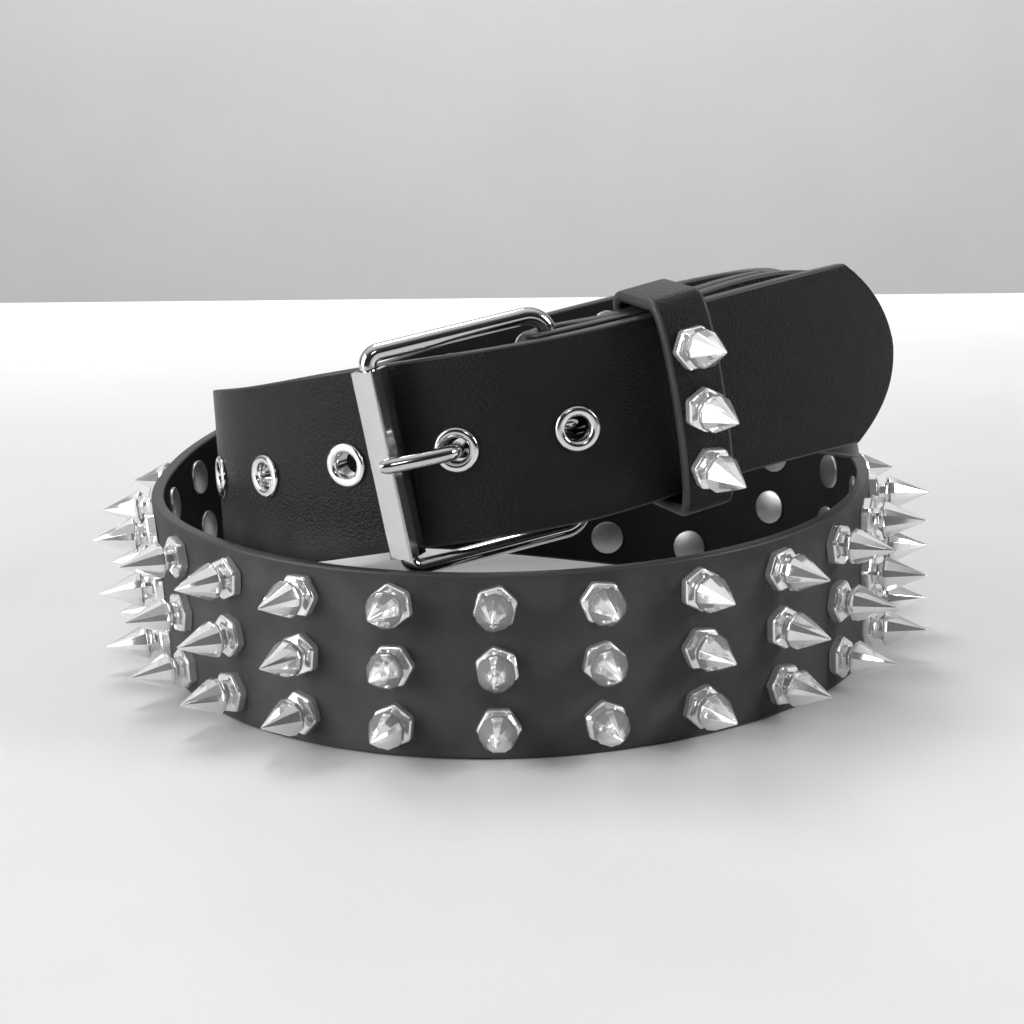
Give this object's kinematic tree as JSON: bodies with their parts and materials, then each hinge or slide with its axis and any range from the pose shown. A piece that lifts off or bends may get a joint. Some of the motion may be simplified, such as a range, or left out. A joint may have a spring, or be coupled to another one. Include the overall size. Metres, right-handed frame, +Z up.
{
  "type": "studded belt",
  "caption": "Black leather belt with rows of metal spikes, a roller buckle and a keeper, buckled and coiled on its edge.",
  "frame": {"origin": "on the floor that the coil stands on, below the middle of the belt's bounding box", "axes": "+Z up, across the strap's width; +X towards the belt's tip; -Y towards the buckle's front"},
  "size_m": [0.1982, 0.1956, 0.0962],
  "materials": {
    "strap_leather": "grained, softly glossy",
    "keeper_leather": "grained, softly glossy",
    "spike_metal": "polished",
    "eyelet_metal": "polished",
    "buckle_metal": "polished"
  },
  "bodies": {
    "root": {"strap": "strap_leather", "keeper": "keeper_leather", "buckle_frame": "buckle_metal", "buckle_roller": "buckle_metal", "buckle_prong": "buckle_metal", "eyelet_1": "eyelet_metal", "eyelet_2": "eyelet_metal", "eyelet_3": "eyelet_metal", "eyelet_4": "eyelet_metal", "eyelet_5": "eyelet_metal", "eyelet_6": "eyelet_metal", "keeper_spike_1": "spike_metal", "keeper_spike_2": "spike_metal", "keeper_spike_3": "spike_metal", "spike_1_1": "spike_metal", "spike_1_2": "spike_metal", "spike_1_3": "spike_metal", "spike_2_1": "spike_metal", "spike_2_2": "spike_metal", "spike_2_3": "spike_metal", "spike_3_1": "spike_metal", "spike_3_2": "spike_metal", "spike_3_3": "spike_metal", "spike_4_1": "spike_metal", "spike_4_2": "spike_metal", "spike_4_3": "spike_metal", "spike_5_1": "spike_metal", "spike_5_2": "spike_metal", "spike_5_3": "spike_metal", "spike_6_1": "spike_metal", "spike_6_2": "spike_metal", "spike_6_3": "spike_metal", "spike_7_1": "spike_metal", "spike_7_2": "spike_metal", "spike_7_3": "spike_metal", "spike_8_1": "spike_metal", "spike_8_2": "spike_metal", "spike_8_3": "spike_metal", "spike_9_1": "spike_metal", "spike_9_2": "spike_metal", "spike_9_3": "spike_metal", "spike_10_1": "spike_metal", "spike_10_2": "spike_metal", "spike_10_3": "spike_metal", "spike_11_1": "spike_metal", "spike_11_2": "spike_metal", "spike_11_3": "spike_metal", "spike_12_1": "spike_metal", "spike_12_2": "spike_metal", "spike_12_3": "spike_metal"}
  },
  "joints": []
}
